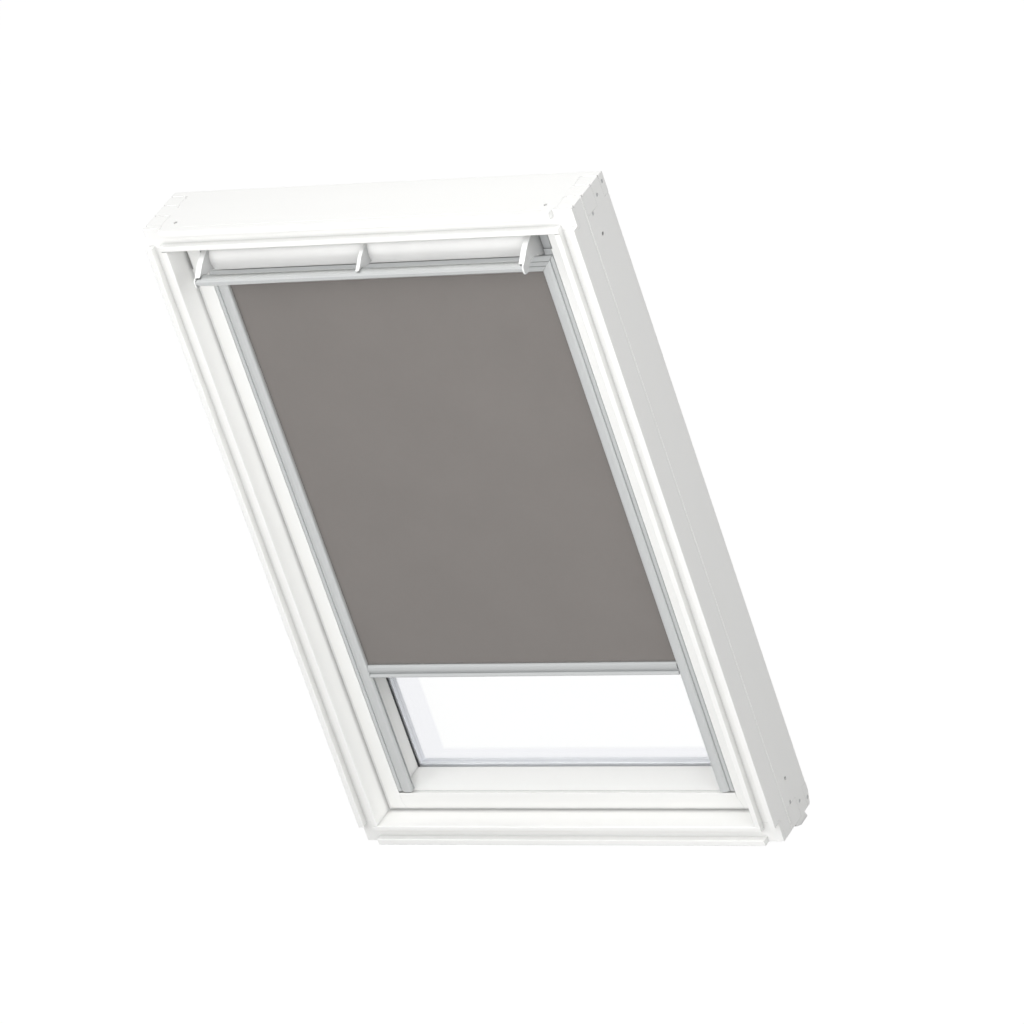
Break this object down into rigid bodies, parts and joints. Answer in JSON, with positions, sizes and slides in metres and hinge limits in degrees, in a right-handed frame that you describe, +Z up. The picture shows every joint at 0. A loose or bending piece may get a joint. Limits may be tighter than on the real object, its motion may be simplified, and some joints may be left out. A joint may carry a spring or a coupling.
{
  "type": "skylight window blind",
  "caption": "Centre-pivot roof window with a grooved outer frame, a pivoting glazed sash, a ventilation flap with its control bar, and a roller blind in side channels.",
  "frame": {"origin": "middle of the outer frame's bottom face, half way through its depth", "axes": "+Z up the roof slope to the window's top, -Y to the room, +X to the right seen from the room"},
  "size_m": [0.78, 0.156, 1.1895],
  "materials": {
    "white_lacquer": "timber under a smooth, closed white lacquer, satin",
    "white_plastic": "semi-gloss white moulding",
    "aluminium": "satin anodised",
    "dark_rubber": "matt black",
    "spacer_grey": "matt grey",
    "glass": "clear",
    "zinc_steel": "zinc plated",
    "grey_fabric": "opaque woven blackout cloth",
    "grey_plastic": "moulded"
  },
  "bodies": {
    "frame": {"corner_screw_left_bottom_1": "zinc_steel", "corner_screw_left_bottom_2": "zinc_steel", "corner_screw_left_bottom_3": "zinc_steel", "corner_screw_left_top_1": "zinc_steel", "corner_screw_left_top_2": "zinc_steel", "corner_screw_left_top_3": "zinc_steel", "corner_screw_right_bottom_1": "zinc_steel", "corner_screw_right_bottom_2": "zinc_steel", "corner_screw_right_bottom_3": "zinc_steel", "corner_screw_right_top_1": "zinc_steel", "corner_screw_right_top_2": "zinc_steel", "corner_screw_right_top_3": "zinc_steel", "frame_bottom": "white_lacquer", "frame_left": "white_lacquer", "frame_right": "white_lacquer", "frame_top": "white_lacquer", "pivot_socket_left": "zinc_steel", "pivot_socket_right": "zinc_steel"},
    "sash": {"blind_casing": "aluminium", "blind_fabric": "grey_fabric", "casing_screw_1": "zinc_steel", "casing_screw_2": "zinc_steel", "casing_screw_3": "zinc_steel", "casing_screw_4": "zinc_steel", "channel_left": "aluminium", "channel_right": "aluminium", "flap_bearing_left": "grey_plastic", "flap_bearing_right": "grey_plastic", "glazing_gasket": "dark_rubber", "glazing_spacer": "spacer_grey", "inner_pane": "glass", "outer_bead_bottom": "aluminium", "outer_bead_left": "aluminium", "outer_bead_right": "aluminium", "outer_bead_top": "aluminium", "outer_pane": "glass", "pivot_pin_left": "zinc_steel", "pivot_pin_right": "zinc_steel", "roller_axle": "zinc_steel", "roller_bracket_left": "grey_plastic", "roller_bracket_right": "grey_plastic", "sash_rail_bottom": "white_lacquer", "sash_rail_top": "white_lacquer", "sash_seal": "dark_rubber", "sash_stile_left": "white_lacquer", "sash_stile_right": "white_lacquer", "spring_motor": "grey_plastic"},
    "vent_flap": {"flap_cover": "white_plastic", "middle_arm": "white_plastic", "control_bar": "aluminium", "flap_end_left": "white_plastic", "flap_end_right": "white_plastic"},
    "blind_bar": {"bottom_bar": "aluminium", "bar_guide_left": "grey_plastic", "bar_guide_right": "grey_plastic"},
    "blind_roller": {"roller_tube": "aluminium", "wound_fabric": "grey_fabric", "roller_plug_left": "grey_plastic", "roller_plug_right": "grey_plastic"}
  },
  "joints": [
    {"name": "sash_pivot", "type": "hinge", "parent": "frame", "child": "sash", "pos_m": [0, 0.018, 0.589], "axis": [1, 0, 0], "range_deg": [0, 160]},
    {"name": "flap_hinge", "type": "hinge", "parent": "sash", "child": "vent_flap", "pos_m": [0, -0.0185, 1.111], "axis": [1, 0, 0], "range_deg": [0, 20]},
    {"name": "blind_slide", "type": "slide", "parent": "sash", "child": "blind_bar", "axis": [0, 0, 1], "range_m": [-0.225, 0.72], "deforming": ["blind_fabric"]},
    {"name": "roller_spin", "type": "hinge", "parent": "sash", "child": "blind_roller", "pos_m": [0, -0.00945, 1.0704], "axis": [1, 0, 0], "range_deg": [-3960, 1260]}
  ],
  "couplings": [
    {"joint": "roller_spin", "follows": "blind_slide", "rad_per_m": -95.24}
  ]
}
